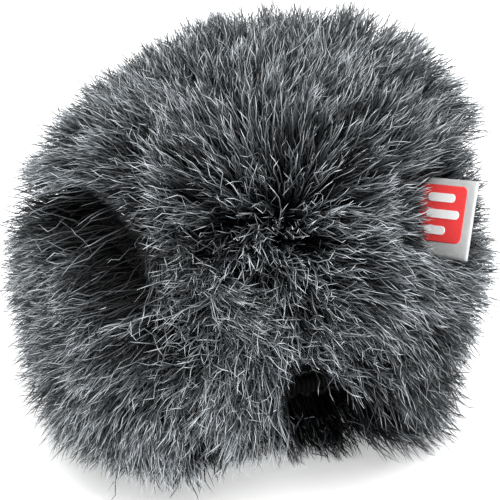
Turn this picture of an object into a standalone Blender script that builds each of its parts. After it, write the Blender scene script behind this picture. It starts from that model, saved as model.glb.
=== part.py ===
"""A furry slip-on windscreen for a portable recorder, lying as it would on a table.

It is a sewn bag of long-pile fur fabric: four wall panels, a closed end and a gathered mouth panel, with
a thin lining inside, binding tape and thread on each seam, an elastic loop in a hem round the mouth, and
a folded ribbon label sewn into one seam. Metres, +Z up; the mouth faces -Y and a little down, and the
origin is on the table under the middle of the bag.
"""

import math

import bmesh
import bpy
from mathutils import Matrix, Vector

# Driving dimensions, in metres and degrees
CENTRE_HEIGHT = 0.0365  # where the mouth's axis starts, above the table
CENTRE_X = 0.0045
CENTRE_Y = 0.0005
MOUTH_TILT = math.radians(40)  # how far the mouth looks below the horizontal
PILE_RIGHT = 0.0430  # from that point to the ends of the pile; the bag sags to the left
PILE_LEFT = 0.0520
PILE_DEPTH = 0.0480
PILE_HEIGHT = 0.0485
PILE_SAG = 0.18  # how far the left side's widest part hangs down, against its distance out
PILE_POWER = 2.5
PILE_LENGTH = 0.0160
CLOTH_POWER = 2.7
CLOTH_THICK = 0.0012  # knitted ground of the fur fabric, without its pile

MOUTH_SEAM = math.radians(58)  # angle from the mouth's axis to the mouth panel's outer seam
END_SEAM = math.radians(126)  # and to the closed end's seam
UPPER_RIGHT_SEAM = math.radians(43)  # angle round the mouth's axis, from +X towards the top
UPPER_LEFT_SEAM = math.radians(137)
LOWER_LEFT_SEAM = math.radians(220)
LOWER_RIGHT_SEAM = math.radians(320)
UPPER_LEAN = math.radians(1)  # how far the pile at the hem leans over the opening
LOWER_LEAN = math.radians(18)
SEAM_RADIUS = 0.0320  # about how far the seams lie from the middle
SEAM_GAP = math.radians(0.4)  # half the gap between two panels, as an angle
STEP = math.radians(9.1)  # size of a panel's facets

HEM_HALF_WIDTH = 0.0140  # the hem's centreline, relaxed
HEM_HALF_HEIGHT = 0.0130
HEM_DEPTH = 0.0255  # from the middle of the bag to the hem, along the mouth's axis
ELASTIC_RADIUS = 0.0012
CASING_BORE = 0.0016
CASING_RADIUS = 0.0020

LAYER_GAP = 0.0006
TAPE_THICK = 0.0005
TAPE_HALF_WIDTH = 0.0040
THREAD_RADIUS = 0.00022
STITCH = 0.0050
ZIGZAG = 0.0013
LINING_THICK = 0.0008
THREAD_DEPTH = LAYER_GAP + TAPE_THICK + LAYER_GAP + THREAD_RADIUS
LINING_DEPTH = THREAD_DEPTH + THREAD_RADIUS + LAYER_GAP

LABEL_NEAR = math.radians(63)  # where the label starts and ends along its seam
LABEL_FAR = math.radians(91)
LABEL_HEIGHT = 0.0165
LABEL_REACH = 0.0162
LABEL_TURN = math.radians(-12)  # from straight out, towards the right gusset
LABEL_SWING = (math.radians(-30), math.radians(30))
RIBBON_THICK = 0.00025
LABEL_FOLD = 0.00045  # radius of the fold's outer side
LABEL_SLOT = (math.radians(-60), math.radians(30))  # the pile's parting round the label

CENTRE = Vector((CENTRE_X, CENTRE_Y, CENTRE_HEIGHT))
MOUTH_AXIS = Vector((0.0, -math.cos(MOUTH_TILT), -math.sin(MOUTH_TILT)))
MOUTH_SIDE = Vector((1.0, 0.0, 0.0))
MOUTH_UP = Vector((0.0, -math.sin(MOUTH_TILT), math.cos(MOUTH_TILT)))


def clear_scene():
    for obj in list(bpy.data.objects):
        bpy.data.objects.remove(obj)


def make_material(name, colour, roughness, metallic=0.0):
    material = bpy.data.materials.new(name)
    material.use_nodes = True
    shader = material.node_tree.nodes["Principled BSDF"]
    shader.inputs["Base Color"].default_value = (*colour, 1.0)
    shader.inputs["Roughness"].default_value = roughness
    shader.inputs["Metallic"].default_value = metallic
    return material


def add_object(name, bm, material):
    """Closes a bmesh into a named object, shaded smooth except at its rims."""
    bmesh.ops.recalc_face_normals(bm, faces=bm.faces)
    mesh = bpy.data.meshes.new(name)
    bm.to_mesh(mesh)
    bm.free()
    mesh.shade_smooth()
    mesh.set_sharp_from_angle(angle=math.radians(40))
    mesh.materials.append(material)
    obj = bpy.data.objects.new(name, mesh)
    bpy.context.scene.collection.objects.link(obj)
    return obj


# The shape of the bag: every surface is a distance from CENTRE in a given direction.


def direction(theta, phi):
    """Unit vector at theta from the mouth's axis and phi round it."""
    around = MOUTH_SIDE * math.cos(phi) + MOUTH_UP * math.sin(phi)
    return MOUTH_AXIS * math.cos(theta) + around * math.sin(theta)


def rounded_box(toward, inset, power):
    side = PILE_RIGHT if toward.x > 0 else PILE_LEFT
    halves = (side - inset, PILE_DEPTH - inset, PILE_HEIGHT - inset)
    sagged = (toward.x, toward.y, toward.z - PILE_SAG * min(toward.x, 0.0))
    total = sum((abs(c) / h) ** power for c, h in zip(sagged, halves))
    return total ** (-1.0 / power)


def smooth_step(low, high, x):
    t = min(max((x - low) / (high - low), 0.0), 1.0)
    return t * t * (3 - 2 * t)


def cloth_radius(toward):
    """The fur fabric's inner face."""
    return rounded_box(toward, PILE_LENGTH, CLOTH_POWER)


def pile_radius(toward):
    """Ends of the pile, pressed flat where the bag lies on the table."""
    reach = rounded_box(toward, 0.0, PILE_POWER)
    if toward.z < 0:
        reach = min(reach, CENTRE_HEIGHT / -toward.z)
    return reach


def hem_angle(phi):
    """Angle from the mouth's axis to the hem's centreline."""
    across = math.hypot(HEM_HALF_WIDTH * math.cos(phi), HEM_HALF_HEIGHT * math.sin(phi))
    return math.atan2(across, HEM_DEPTH)


def mouth_share(toward):
    """0 at the mouth panel's outer seam and 1 at the hem."""
    theta = toward.angle(MOUTH_AXIS)
    phi = math.atan2(toward.dot(MOUTH_UP), toward.dot(MOUTH_SIDE))
    start = hem_angle(phi) + math.radians(6)
    return (MOUTH_SEAM - theta) / (MOUTH_SEAM - start)


def cloth_point(toward):
    return CENTRE + toward * cloth_radius(toward)


def pile_point(toward):
    return CENTRE + toward * pile_radius(toward)


def inside_point(depth):
    """Maps a direction to the surface this far inside the fur fabric."""
    return lambda toward: CENTRE + toward * (cloth_radius(toward) - depth)


def mouth_cloth_point(toward):
    """The mouth panel's inner face, which rolls in towards the hem."""
    rolled = 1 - 0.09 * smooth_step(0.5, 1.0, mouth_share(toward))
    return CENTRE + toward * cloth_radius(toward) * rolled


def mouth_pile_point(toward):
    """The mouth panel's pile, which leans over the opening, most of all where the bag rests on it."""
    share = smooth_step(0.3, 1.0, mouth_share(toward))
    phi = math.atan2(toward.dot(MOUTH_UP), toward.dot(MOUTH_SIDE))
    lean = UPPER_LEAN + (LOWER_LEAN - UPPER_LEAN) * (1 - math.sin(phi)) / 2
    leaned = direction(toward.angle(MOUTH_AXIS) - lean * share, phi)
    return CENTRE + leaned * pile_radius(leaned) * (1 - 0.08 * share)


# Panels


def shell_panel(name, thetas, phis, inner, outer, material):
    """A closed shell between two surfaces, over a span of theta and of phi. Each surface maps a direction
    to a point. phis may be a whole turn, and thetas may end at the closed end's pole. The start of thetas
    is a number or a function of phi."""

    def start(phi):
        return thetas[0](phi) if callable(thetas[0]) else thetas[0]

    rows = max(2, round((thetas[1] - start(0)) / STEP))
    columns = max(2, round((phis[1] - phis[0]) / STEP))
    bm = bmesh.new()
    bmesh.ops.create_grid(bm, x_segments=columns, y_segments=rows, size=0.5)
    for v in bm.verts:
        phi = phis[0] + (phis[1] - phis[0]) * (v.co.x + 0.5)
        low = start(phi)
        toward = direction(low + (thetas[1] - low) * (v.co.y + 0.5), phi)
        v.co = inner(toward)
    bmesh.ops.remove_doubles(bm, verts=bm.verts, dist=1e-6)
    lifted = bmesh.ops.extrude_face_region(bm, geom=bm.faces[:])
    for v in lifted["geom"]:
        if isinstance(v, bmesh.types.BMVert):
            v.co = outer((v.co - CENTRE).normalized())
    return add_object(name, bm, material)


WALLS = (
    ("upper", "fur_panel", UPPER_RIGHT_SEAM, UPPER_LEFT_SEAM),
    ("left", "fur_gusset", UPPER_LEFT_SEAM, LOWER_LEFT_SEAM),
    ("lower", "fur_panel", LOWER_LEFT_SEAM, LOWER_RIGHT_SEAM),
    ("right", "fur_gusset", LOWER_RIGHT_SEAM, UPPER_RIGHT_SEAM + math.tau),
)


def make_bag(fur):
    """The walls, the closed end and the two halves of the mouth panel, each of fur fabric with its pile."""
    rows = (MOUTH_SEAM + SEAM_GAP, END_SEAM - SEAM_GAP)
    for side, kind, start, stop in WALLS:
        columns = (start + SEAM_GAP, stop - SEAM_GAP)
        shell_panel(f"{side}_{kind}", rows, columns, cloth_point, pile_point, fur)
    cap = (END_SEAM + SEAM_GAP, math.pi)
    shell_panel("end_fur_panel", cap, (0.0, math.tau), cloth_point, pile_point, fur)
    rows = (lambda phi: hem_angle(phi) + math.radians(6), MOUTH_SEAM - SEAM_GAP)
    for half, start in (("upper", 0.0), ("lower", math.pi)):
        columns = (start + SEAM_GAP, start + math.pi - SEAM_GAP)
        name = f"{half}_mouth_fur"
        shell_panel(name, rows, columns, mouth_cloth_point, mouth_pile_point, fur)


def make_lining(cloth):
    outer = inside_point(LINING_DEPTH)
    inner = inside_point(LINING_DEPTH + LINING_THICK)
    rows = (MOUTH_SEAM + SEAM_GAP, END_SEAM - SEAM_GAP)
    for side, _, start, stop in WALLS:
        columns = (start + SEAM_GAP, stop - SEAM_GAP)
        shell_panel(f"{side}_lining", rows, columns, inner, outer, cloth)
    cap = (END_SEAM + SEAM_GAP, math.pi)
    shell_panel("end_lining", cap, (0.0, math.tau), inner, outer, cloth)


# Seams

LONG_SEAMS = (
    ("upper_right", UPPER_RIGHT_SEAM),
    ("upper_left", UPPER_LEFT_SEAM),
    ("lower_left", LOWER_LEFT_SEAM),
    ("lower_right", LOWER_RIGHT_SEAM),
)
ROUND_SEAMS = (("mouth", MOUTH_SEAM), ("end", END_SEAM))


def make_tapes(tape):
    """Binding tape over the raw edges of each seam, inside the fur fabric."""
    outer = inside_point(LAYER_GAP)
    inner = inside_point(LAYER_GAP + TAPE_THICK)
    half = TAPE_HALF_WIDTH / SEAM_RADIUS
    room = half + 2 * SEAM_GAP
    for name, phi in LONG_SEAMS:
        rows = (MOUTH_SEAM + room, END_SEAM - room)
        shell_panel(f"{name}_seam_tape", rows, (phi - half, phi + half), inner, outer, tape)
    for name, theta in ROUND_SEAMS:
        turn = (0.0, math.tau)
        shell_panel(f"{name}_seam_tape", (theta - half, theta + half), turn, inner, outer, tape)


def tube_object(name, points, radius, sides, material, closed=False):
    """A round tube along a list of points."""
    bm = bmesh.new()
    count = len(points)
    rings = []
    for i, point in enumerate(points):
        before = points[(i - 1) % count] if closed else points[max(i - 1, 0)]
        after = points[(i + 1) % count] if closed else points[min(i + 1, count - 1)]
        along = (after - before).normalized()
        out = (point - CENTRE).normalized()
        side = along.cross(out).normalized()
        up = side.cross(along)
        turns = (math.tau * (k + 0.5) / sides for k in range(sides))
        ring = [bm.verts.new(point + radius * (side * math.cos(a) + up * math.sin(a))) for a in turns]
        rings.append(ring)
    for i in range(count if closed else count - 1):
        first, second = rings[i], rings[(i + 1) % count]
        for k in range(sides):
            j = (k + 1) % sides
            bm.faces.new((first[k], first[j], second[j], second[k]))
    if not closed:
        bm.faces.new(rings[0])
        bm.faces.new(rings[-1])
    return add_object(name, bm, material)


def zigzag(path, length):
    """Points that step from side to side along path(share, offset), a stitch at a time."""
    steps = 2 * round(length / STITCH / 2) * 2
    return [path(i / steps, ZIGZAG / 2 * (-1) ** i) for i in range(steps)]


def make_threads(thread):
    """Zigzag thread along the middle of each binding tape."""
    surface = inside_point(THREAD_DEPTH)
    half = TAPE_HALF_WIDTH / SEAM_RADIUS + 2 * SEAM_GAP
    for name, phi in LONG_SEAMS:
        low, high = MOUTH_SEAM + half, END_SEAM - half

        def along(share, offset, phi=phi, low=low, high=high):
            toward = direction(low + (high - low) * share, phi + offset / SEAM_RADIUS)
            return surface(toward)

        length = (high - low) * SEAM_RADIUS
        tube_object(f"{name}_seam_thread", zigzag(along, length), THREAD_RADIUS, 4, thread)
    for name, theta in ROUND_SEAMS:

        def around(share, offset, theta=theta):
            toward = direction(theta + offset / SEAM_RADIUS, math.tau * share)
            return surface(toward)

        length = math.tau * SEAM_RADIUS * math.sin(theta)
        points = zigzag(around, length)
        tube_object(f"{name}_seam_thread", points, THREAD_RADIUS, 4, thread, closed=True)


# The hem and its elastic


def hem_point(phi, across=0.0, along=0.0):
    """On the hem's centreline at phi, moved across it, away from its axis, and along the mouth's axis."""
    out = MOUTH_SIDE * math.cos(phi) + MOUTH_UP * math.sin(phi)
    at = MOUTH_SIDE * HEM_HALF_WIDTH * math.cos(phi) + MOUTH_UP * HEM_HALF_HEIGHT * math.sin(phi)
    return CENTRE + MOUTH_AXIS * (HEM_DEPTH + along) + at + out * across


def hem_section(phi, radius, sides):
    turns = (math.tau * k / sides for k in range(sides))
    return [hem_point(phi, radius * math.cos(a), radius * math.sin(a)) for a in turns]


def make_casing(name, start, cloth):
    """Half of the hem: a sleeve of cloth, open at both ends, with the elastic inside."""
    steps, sides = 16, 8
    first = start + SEAM_GAP
    last = start + math.pi - SEAM_GAP
    bm = bmesh.new()
    rings = []
    for i in range(steps + 1):
        phi = first + (last - first) * i / steps
        outer = [bm.verts.new(p) for p in hem_section(phi, CASING_RADIUS, sides)]
        inner = [bm.verts.new(p) for p in hem_section(phi, CASING_BORE, sides)]
        rings.append((outer, inner))
    for k in range(sides):
        j = (k + 1) % sides
        for (outer_a, inner_a), (outer_b, inner_b) in zip(rings, rings[1:]):
            bm.faces.new((outer_a[k], outer_a[j], outer_b[j], outer_b[k]))
            bm.faces.new((inner_a[k], inner_b[k], inner_b[j], inner_a[j]))
        for outer, inner in (rings[0], rings[-1]):
            bm.faces.new((outer[k], outer[j], inner[j], inner[k]))
    return add_object(name, bm, cloth)


def make_hem(cloth, thread, rubber):
    for half, start in (("upper", 0.0), ("lower", math.pi)):
        make_casing(f"{half}_hem_casing", start, cloth)
        margin = math.radians(4)
        depth = -(CASING_RADIUS + LAYER_GAP + THREAD_RADIUS)

        def along(share, offset, start=start):
            phi = start + margin + (math.pi - 2 * margin) * share
            return hem_point(phi, offset, depth)

        points = zigzag(along, math.pi * HEM_HALF_WIDTH)
        tube_object(f"{half}_hem_thread", points, THREAD_RADIUS, 4, thread)
    loop = [hem_point(math.tau * i / 36) for i in range(36)]
    tube_object("elastic_loop", loop, ELASTIC_RADIUS, 6, rubber, closed=True)


# The label


def label_frame():
    """The label's hinge: a point on it, its direction along the seam, and straight out from the bag."""
    ends = [direction(theta, UPPER_RIGHT_SEAM) for theta in (LABEL_NEAR, LABEL_FAR)]
    near, far = (CENTRE + d * (cloth_radius(d) + CLOTH_THICK) for d in ends)
    along = (far - near).normalized()
    middle = (near + far) / 2
    out = middle - CENTRE
    out = (out - along * out.dot(along)).normalized()
    return middle + out * LAYER_GAP, along, out


def on_label(point, along, out, reach, lift, height):
    return point + out * reach + along.cross(out) * lift + along * height


def make_label(ribbon):
    """A ribbon folded in two, with its fold at the free edge and its hinge on the seam."""
    point, along, out = label_frame()
    out = Matrix.Rotation(LABEL_TURN, 3, along) @ out
    outer, inner = LABEL_FOLD, LABEL_FOLD - RIBBON_THICK
    fold_at = LABEL_REACH - outer
    turns = [math.pi * (0.5 - k / 6) for k in range(7)]
    profile = [(0.0, outer)]
    profile += [(fold_at + outer * math.cos(a), outer * math.sin(a)) for a in turns]
    profile += [(0.0, -outer), (0.0, -inner)]
    profile += [(fold_at + inner * math.cos(a), inner * math.sin(a)) for a in reversed(turns)]
    profile += [(0.0, inner)]
    bm = bmesh.new()
    half = LABEL_HEIGHT / 2
    face = bm.faces.new(
        [bm.verts.new(on_label(point, along, out, r, s, -half)) for r, s in profile]
    )
    lifted = bmesh.ops.extrude_face_region(bm, geom=[face])
    moved = [v for v in lifted["geom"] if isinstance(v, bmesh.types.BMVert)]
    bmesh.ops.translate(bm, verts=moved, vec=along * LABEL_HEIGHT)
    return add_object("label_tab", bm, ribbon)


def cut_label_slot(names):
    """Parts the pile round the label, so that it can swing."""
    point, along, out = label_frame()
    reach = 1.3 * LABEL_REACH
    half = LABEL_HEIGHT / 2 + 2 * LAYER_GAP
    low, high = LABEL_SLOT
    steps = 6
    profile = [(-LAYER_GAP, LABEL_FOLD * 2), (-LAYER_GAP, -LABEL_FOLD * 2)]
    for k in range(steps + 1):
        a = low + (high - low) * k / steps
        profile.append((reach * math.cos(a), reach * math.sin(a)))
    bm = bmesh.new()
    face = bm.faces.new(
        [bm.verts.new(on_label(point, along, out, r, s, -half)) for r, s in profile]
    )
    lifted = bmesh.ops.extrude_face_region(bm, geom=[face])
    moved = [v for v in lifted["geom"] if isinstance(v, bmesh.types.BMVert)]
    bmesh.ops.translate(bm, verts=moved, vec=along * 2 * half)
    cutter = add_object("label_slot_cutter", bm, bpy.data.materials[0])
    cutter.hide_render = True
    cutter.display_type = "WIRE"
    for name in names:
        cut = bpy.data.objects[name].modifiers.new("label_slot", "BOOLEAN")
        cut.operation = "DIFFERENCE"
        cut.object = cutter


def main():
    clear_scene()
    fur = make_material("fur", (0.085, 0.088, 0.092), 0.75)
    lining = make_material("lining", (0.012, 0.012, 0.013), 0.9)
    tape = make_material("tape", (0.02, 0.02, 0.021), 0.8)
    thread = make_material("thread", (0.035, 0.035, 0.037), 0.6)
    elastic = make_material("elastic", (0.015, 0.015, 0.016), 0.7)
    ribbon = make_material("ribbon", (0.48, 0.50, 0.51), 0.55)
    make_bag(fur)
    make_lining(lining)
    make_tapes(tape)
    make_threads(thread)
    make_hem(lining, thread, elastic)
    make_label(ribbon)
    cut_label_slot(("upper_fur_panel", "right_fur_gusset"))


main()
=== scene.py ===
"""Looks for the furry windscreen: hairs on a knitted ground, lining, hem and label, on a pale floor.

Lengths are in metres. Every random draw comes from a generator with a fixed seed.
"""

import math

import bpy
import numpy as np
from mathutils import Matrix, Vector, kdtree


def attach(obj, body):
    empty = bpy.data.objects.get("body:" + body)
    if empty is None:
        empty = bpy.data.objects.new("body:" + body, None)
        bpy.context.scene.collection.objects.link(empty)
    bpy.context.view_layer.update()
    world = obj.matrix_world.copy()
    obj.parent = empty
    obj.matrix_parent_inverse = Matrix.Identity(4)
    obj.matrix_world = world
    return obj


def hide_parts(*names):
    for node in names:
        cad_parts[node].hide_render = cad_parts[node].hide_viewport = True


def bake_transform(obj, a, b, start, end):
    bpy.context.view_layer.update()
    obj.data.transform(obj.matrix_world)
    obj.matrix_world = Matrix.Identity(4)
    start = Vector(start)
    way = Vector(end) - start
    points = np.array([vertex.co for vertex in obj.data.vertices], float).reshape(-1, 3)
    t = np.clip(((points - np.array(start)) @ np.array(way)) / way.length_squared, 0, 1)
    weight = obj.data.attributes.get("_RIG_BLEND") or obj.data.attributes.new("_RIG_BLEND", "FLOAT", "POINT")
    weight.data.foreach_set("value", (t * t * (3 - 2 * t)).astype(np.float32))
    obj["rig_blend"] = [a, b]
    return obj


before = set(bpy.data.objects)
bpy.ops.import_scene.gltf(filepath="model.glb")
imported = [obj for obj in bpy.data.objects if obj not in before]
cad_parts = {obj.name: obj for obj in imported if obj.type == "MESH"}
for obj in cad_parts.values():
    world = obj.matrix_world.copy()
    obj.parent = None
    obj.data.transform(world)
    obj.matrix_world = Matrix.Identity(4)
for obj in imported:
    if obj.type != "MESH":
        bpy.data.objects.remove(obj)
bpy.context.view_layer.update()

# The bag's shape, as in the CAD model. AXIS points out of the mouth. A direction's theta is its angle
# from AXIS, and its phi the angle round AXIS, from SIDE towards UP.
CENTRE = np.array([0.0045, 0.0005, 0.0365])
TILT = math.radians(40)
AXIS = np.array([0.0, -math.cos(TILT), -math.sin(TILT)])
SIDE = np.array([1.0, 0.0, 0.0])
UP = np.array([0.0, -math.sin(TILT), math.cos(TILT)])
PILE_RIGHT, PILE_LEFT, PILE_DEPTH, PILE_HEIGHT = 0.0430, 0.0520, 0.0480, 0.0485
PILE_SAG, PILE_POWER, PILE_LENGTH, CLOTH_POWER = 0.18, 2.5, 0.0160, 2.7
CLOTH_THICK = 0.0012
MOUTH_SEAM, END_SEAM = math.radians(58), math.radians(126)
# The seams from the mouth to the closed end: upper right, upper left, lower left and lower right
SEAMS = tuple(math.radians(a) for a in (43, 137, 220, 320))
SEAM_RADIUS = 0.0320
# The angle from the hem to the edge of the mouth panel, and to its first hairs
RIM_GAP, HAIR_GAP = math.radians(6), math.radians(6.5)
HEM_WIDTH, HEM_HEIGHT, HEM_DEPTH = 0.0140, 0.0130, 0.0255
CASING_RADIUS, ELASTIC_RADIUS = 0.0020, 0.0012
LAYER_GAP, TAPE_THICK = 0.0006, 0.0005
THREAD_RADIUS, LINING_THICK = 0.00022, 0.0008
THREAD_DEPTH = 2 * LAYER_GAP + TAPE_THICK + THREAD_RADIUS
LINING_DEPTH = THREAD_DEPTH + THREAD_RADIUS + LAYER_GAP
GATHERS, STITCHES = 34, 44
LABEL_HEIGHT, LABEL_REACH, LABEL_TURN = 0.0163, 0.0162, math.radians(-12)


def unit(v):
    return v / np.maximum(np.linalg.norm(v, axis=-1, keepdims=True), 1e-12)


def ease(low, high, x):
    t = np.clip((x - low) / (high - low), 0, 1)
    return t * t * (3 - 2 * t)


def direction(theta, phi):
    theta, phi = np.asarray(theta)[..., None], np.asarray(phi)[..., None]
    around = SIDE * np.cos(phi) + UP * np.sin(phi)
    return AXIS * np.cos(theta) + around * np.sin(theta)


def angles(d):
    theta = np.arccos(np.clip(d @ AXIS, -1, 1))
    return theta, np.arctan2(d @ UP, d @ SIDE) % math.tau


def box_radius(d, inset, power):
    x, y, z = d[..., 0], d[..., 1], d[..., 2]
    side = np.where(x > 0, PILE_RIGHT, PILE_LEFT) - inset
    z = z - PILE_SAG * np.minimum(x, 0)
    total = np.abs(x / side) ** power
    total += np.abs(y / (PILE_DEPTH - inset)) ** power + np.abs(z / (PILE_HEIGHT - inset)) ** power
    return total ** (-1 / power)


def hem_angle(phi):
    return np.arctan2(np.hypot(HEM_WIDTH * np.cos(phi), HEM_HEIGHT * np.sin(phi)), HEM_DEPTH)


def rim_share(d):
    """0 outside the mouth panel and 1 at its edge by the hem."""
    theta, phi = angles(d)
    start = hem_angle(phi) + RIM_GAP
    return np.clip((MOUTH_SEAM - theta) / (MOUTH_SEAM - start), 0, 1.2)


def cloth_radius(d):
    """The fur fabric's inner face, which rolls in towards the hem."""
    return box_radius(d, PILE_LENGTH, CLOTH_POWER) * (1 - 0.09 * ease(0.5, 1.0, rim_share(d)))


def pile_radius(d):
    reach = box_radius(d, 0.0, PILE_POWER)
    down = np.maximum(-d[..., 2], 1e-6)
    return np.minimum(reach, CENTRE[2] / down)


def surface_frame(d, radius):
    """Points and outward normals of the surface at radius(d), for unit directions d."""
    helper = np.where(np.abs(d[:, 2:3]) < 0.9, [[0, 0, 1.0]], [[1.0, 0, 0]])
    u = unit(np.cross(helper, d))
    v = np.cross(d, u)
    at = d * radius(d)[:, None]
    step = 2e-3
    du, dv = unit(d + u * step), unit(d + v * step)
    n = unit(np.cross(du * radius(du)[:, None] - at, dv * radius(dv)[:, None] - at))
    n *= np.sign((n * d).sum(1, keepdims=True))
    return CENTRE + at, n


# Meshes and materials


def mesh_object(name, points, faces, material, smooth=True):
    mesh = bpy.data.meshes.new(name)
    mesh.from_pydata([tuple(p) for p in points], [], faces)
    mesh.update()
    if smooth:
        mesh.shade_smooth()
    mesh.materials.append(material)
    obj = bpy.data.objects.new(name, mesh)
    bpy.context.scene.collection.objects.link(obj)
    return obj


class Nodes:
    """A material's nodes, made and linked in short calls."""

    def __init__(self, name, roughness, **shader):
        self.material = bpy.data.materials.new(name)
        self.material.use_nodes = True
        self.tree = self.material.node_tree
        self.shader = self.tree.nodes["Principled BSDF"]
        self.shader.inputs["Roughness"].default_value = roughness
        for key, value in shader.items():
            self.shader.inputs[key.replace("_", " ")].default_value = value

    def add(self, kind, links=None, values=None, **settings):
        node = self.tree.nodes.new(kind)
        for key, value in settings.items():
            setattr(node, key, value)
        for key, value in (values or {}).items():
            node.inputs[key].default_value = value
        for key, socket in (links or {}).items():
            self.tree.links.new(socket, node.inputs[key])
        return node

    def ramp(self, fac, stops):
        node = self.add("ShaderNodeValToRGB", {"Fac": fac})
        elements = node.color_ramp.elements
        while len(elements) < len(stops):
            elements.new(0.5)
        for element, (place, colour) in zip(elements, stops):
            element.position = place
            element.color = (*colour, 1)
        return node.outputs["Color"]

    def mix(self, fac, a, b, blend="MIX"):
        node = self.add("ShaderNodeMix", data_type="RGBA", blend_type=blend)
        for socket, value in zip((node.inputs[0], node.inputs[6], node.inputs[7]), (fac, a, b)):
            if isinstance(value, bpy.types.NodeSocket):
                self.tree.links.new(value, socket)
            else:
                socket.default_value = value
        return node.outputs[2]

    def colour(self, socket):
        self.tree.links.new(socket, self.shader.inputs["Base Color"])

    def bump(self, height, strength, distance):
        node = self.add(
            "ShaderNodeBump", {"Height": height}, {"Strength": strength, "Distance": distance}
        )
        self.tree.links.new(node.outputs["Normal"], self.shader.inputs["Normal"])


def fur_material():
    """Dark roots and silver tips along each hair, in one tone for each column of the UV map."""
    m = Nodes("fur", 0.42, Specular_IOR_Level=0.14)
    uv = m.add("ShaderNodeUVMap", uv_map="OFBake")
    parts = m.add("ShaderNodeSeparateXYZ", {"Vector": uv.outputs["UV"]})
    along = m.ramp(
        parts.outputs["Y"],
        (
            (0.0, (0.003, 0.003, 0.0033)),
            (0.40, (0.008, 0.0083, 0.009)),
            (0.65, (0.0240, 0.0265, 0.0290)),
            (0.84, (0.090, 0.098, 0.105)),
            (1.0, (0.41, 0.435, 0.455)),
        ),
    )
    tone = m.ramp(
        parts.outputs["X"],
        (
            (0.0, (0.07, 0.07, 0.07)),
            (0.25, (0.20, 0.20, 0.20)),
            (0.5, (0.66, 0.66, 0.66)),
            (0.75, (1.60, 1.60, 1.60)),
            (1.0, (2.40, 2.40, 2.40)),
        ),
    )
    m.colour(m.mix(1.0, along, tone, "MULTIPLY"))
    return m.material


def knit_material(name, dark, light, scale, sheen=0.3, gloss=0.15):
    """A thin knit: rows of small loops, with bump and a little lint."""
    m = Nodes(name, 0.85, Sheen_Weight=sheen, Sheen_Roughness=0.5, Specular_IOR_Level=gloss)
    where = m.add("ShaderNodeTexCoord").outputs["Object"]
    loops = m.add("ShaderNodeTexWave", {"Vector": where}, {"Scale": scale, "Distortion": 1.5})
    lint = m.add("ShaderNodeTexNoise", {"Vector": where}, {"Scale": scale * 1.7, "Detail": 4.0})
    mixed = m.mix(0.5, loops.outputs["Color"], lint.outputs["Color"])
    m.colour(m.ramp(mixed, ((0.2, dark), (0.9, light))))
    m.bump(loops.outputs["Fac"], 0.5, 0.0002)
    return m.material


# Fur

HAIRS, GUARD_SHARE, CLUMP_HAIRS = 100000, 0.36, 11
HAIR_LENGTH, HAIR_RADIUS, HAIR_CRIMP, CLUMP_CRIMP = 0.0165, 0.000100, 0.00024, 0.00014
STEPS = 8  # lengths of straight hair from root to tip
COLUMNS = 32  # tones in the UV map
MESH_FACES = 195000
WIDEST_CLOTH = 0.042
FLOOR_GAP, GROUND_GAP, GROUND_SHARE = 0.0002, 0.00005, 0.8

# Where the pile opens like a flower, where it is tangled, and which way it is combed at the mouth
WHORL = unit(np.array([-0.217, -0.777, 0.591]))
TANGLE = unit(np.array([-0.40, -0.90, 0.16]))
FORWARD = np.array([0.0, -1.0, 0.0])
# Where the pile reaches further or less far: direction, gain, and the cosine at which it starts
REACHES = (
    (unit(np.array([0.62, 0.10, 0.78])), 0.34, 0.90),
    (unit(np.array([-0.95, 0.28, 0.24])), 0.17, 0.86),
    (unit(np.array([-0.36, -0.42, -0.83])), -0.09, 0.92),
    (unit(np.array([-0.40, -0.58, -0.70])), -0.22, 0.72),
    (unit(np.array([0.72, -0.48, -0.48])), -0.20, 0.86),
    (unit(np.array([0.38, -0.54, -0.75])), 0.30, 0.84),
    (unit(np.array([-0.88, -0.04, -0.46])), 0.05, 0.84),
)

# The view from the front that the pile is dressed for. seen() gives places in it.
VIEW_RIGHT = np.array([0.9659, -0.2588, 0.0])
VIEW_UP = np.array([0.1294, 0.4830, 0.8660])
VIEW_OUT = np.array([-0.2241, -0.8365, 0.5000])
VIEW_DISTANCE = 0.450
VIEW_TARGET = np.array([0.0, 0.0, 0.0385])
# Hollows in the view, by points on their middle line: across, up and half width
PIT_LINE = (
    (0.0121, -0.0252, 0.0017),
    (0.0129, -0.0283, 0.0036),
    (0.0141, -0.0318, 0.0068),
    (0.0152, -0.0354, 0.0076),
    (0.0150, -0.0385, 0.0048),
)
CLEFT_LINE = (
    (-0.0366, 0.0122, 0.0017),
    (-0.0312, 0.0071, 0.0029),
    (-0.0262, 0.0012, 0.0027),
    (-0.0232, -0.0055, 0.0013),
    (-0.0207, -0.0121, 0.0006),
)
# How far back from the viewer the pit and the cleft are cleared, and the share of hairs they spare
PIT_BACK, CLEFT_BACK, PIT_SPARED, CLEFT_SPARED = -0.006, -0.008, 0.012, 0.018
# The ridge of pile above the cleft: where it starts in the view, and its course
RIDGE_START, RIDGE_COURSE = (-0.0302, 0.0150), (0.567, -0.823)
# Painted shade and painted light: patches of hair made darker or lighter at places in the view: across, up,
# size, and gain in tone
PAINTED_SHADE_AND_LIGHT = (
    (-0.0140, -0.0010, 0.0062, -0.34),
    (0.0198, -0.0385, 0.0065, -0.26),
    (0.0235, -0.0195, 0.0065, -0.22),
    (-0.0170, -0.0295, 0.0085, -0.24),
    (-0.0110, -0.0150, 0.0060, 0.16),
    (0.0380, -0.0050, 0.0140, 0.12),
    (0.0170, 0.0060, 0.0110, 0.12),
    (-0.0333, 0.0275, 0.0090, 0.14),
    (0.0385, -0.0330, 0.0105, -0.20),
    (-0.0120, -0.0335, 0.0048, 0.12),
)
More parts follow.
